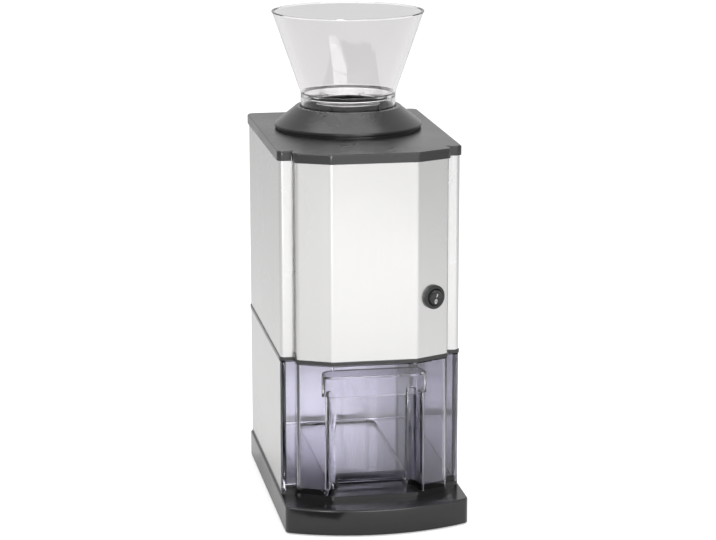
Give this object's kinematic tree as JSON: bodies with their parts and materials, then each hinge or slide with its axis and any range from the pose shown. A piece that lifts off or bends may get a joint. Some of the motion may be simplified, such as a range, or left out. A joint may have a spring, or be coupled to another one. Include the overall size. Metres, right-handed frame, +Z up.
{
  "type": "electric ice crusher",
  "caption": "Tall steel ice crusher with a clear lift-out hopper, a clear slide-out drawer, a rocker switch and a geared blade rotor inside.",
  "frame": {"origin": "on the table, under the middle of the base's outline", "axes": "+X to the object's right seen from the front, +Y to the back, +Z up"},
  "size_m": [0.176, 0.286, 0.475],
  "materials": {
    "gloss_black": "gloss black moulded plastic",
    "satin_black": "satin black moulded plastic",
    "rubber": "black rubber",
    "brushed_steel": "stainless steel with a fine upright brush",
    "clear_hopper": "clear plastic",
    "clear_drawer": "clear plastic with a violet cast",
    "switch_black": "black switch plastic",
    "terminal": "brass",
    "cast_metal": "cast aluminium",
    "blade_steel": "ground steel",
    "bronze": "sintered bronze",
    "gear_steel": "cut steel",
    "gear_plastic": "off-white gear plastic",
    "plate_steel": "zinc-plated steel sheet",
    "motor_steel": "plated steel",
    "magnet": "ferrite",
    "copper": "enamelled copper",
    "carbon": "carbon",
    "duct_plastic": "light grey plastic",
    "screw_steel": "plated screws",
    "wire": "insulated wire"
  },
  "bodies": {
    "housing": {"base_screws": "screw_steel", "base_tray": "gloss_black", "chamber_screws": "screw_steel", "chute_screws": "screw_steel", "comb_screws": "screw_steel", "cord_gland": "satin_black", "cover_screws": "screw_steel", "cradle_screws": "screw_steel", "crusher_chamber": "cast_metal", "deck_screws": "screw_steel", "feed_throat": "satin_black", "fixed_comb": "blade_steel", "front_panel": "brushed_steel", "gear_cover": "satin_black", "gearbox_plate": "plate_steel", "hopper_collar": "satin_black", "ice_chute": "duct_plastic", "idler_pin": "gear_steel", "lead_wires": "wire", "lower_skin": "brushed_steel", "middle_deck": "satin_black", "motor_brushes": "carbon", "motor_bush_front": "bronze", "motor_bush_rear": "bronze", "motor_can": "motor_steel", "motor_cradle": "plate_steel", "motor_end_cap": "satin_black", "motor_magnets": "magnet", "motor_screws": "screw_steel", "plate_screws": "screw_steel", "rear_post_left": "plate_steel", "rear_post_right": "plate_steel", "rotor_bush_left": "bronze", "rotor_bush_right": "bronze", "rubber_feet": "rubber", "switch_body": "switch_black", "switch_terminals": "terminal", "throat_screws": "screw_steel", "top_lid": "satin_black", "upper_skin": "brushed_steel"},
    "hopper": {"hopper": "clear_hopper"},
    "drawer": {"drawer": "clear_drawer"},
    "rocker": {"switch_rocker": "switch_black"},
    "rotor": {"rotor_shaft": "gear_steel", "final_gear": "gear_steel", "crushing_blade_1": "blade_steel", "crushing_blade_2": "blade_steel", "crushing_blade_3": "blade_steel", "crushing_blade_4": "blade_steel", "rotor_spacer_1": "gear_steel", "rotor_spacer_2": "gear_steel", "rotor_spacer_3": "gear_steel", "rotor_spacer_4": "gear_steel", "rotor_spacer_5": "gear_steel"},
    "idler": {"idler_gear": "gear_plastic"},
    "armature": {"motor_shaft": "gear_steel", "armature_core": "motor_steel", "armature_winding": "copper", "commutator": "copper", "motor_pinion": "gear_steel"}
  },
  "joints": [
    {"name": "hopper_lift", "type": "slide", "parent": "housing", "child": "hopper", "axis": [0, 0, 1], "range_m": [0, 0.12]},
    {"name": "drawer_slide", "type": "slide", "parent": "housing", "child": "drawer", "axis": [0, -1, 0], "range_m": [0, 0.22]},
    {"name": "rocker_tilt", "type": "hinge", "parent": "housing", "child": "rocker", "pos_m": [0.0575, -0.10264, 0.22], "axis": [-0.8957, -0.4223, 0.1392], "range_deg": [0, 18]},
    {"name": "rotor_spin", "type": "hinge", "parent": "housing", "child": "rotor", "pos_m": [0, 0.043, 0.3], "axis": [1, 0, 0], "continuous": true},
    {"name": "idler_spin", "type": "hinge", "parent": "housing", "child": "idler", "pos_m": [0, -0.00601, 0.28119], "axis": [1, 0, 0], "continuous": true},
    {"name": "motor_spin", "type": "hinge", "parent": "housing", "child": "armature", "pos_m": [0, -0.03911, 0.26979], "axis": [1, 0, 0], "continuous": true}
  ],
  "couplings": [
    {"joint": "idler_spin", "follows": "rotor_spin", "ratio": -4},
    {"joint": "motor_spin", "follows": "rotor_spin", "ratio": 16}
  ]
}
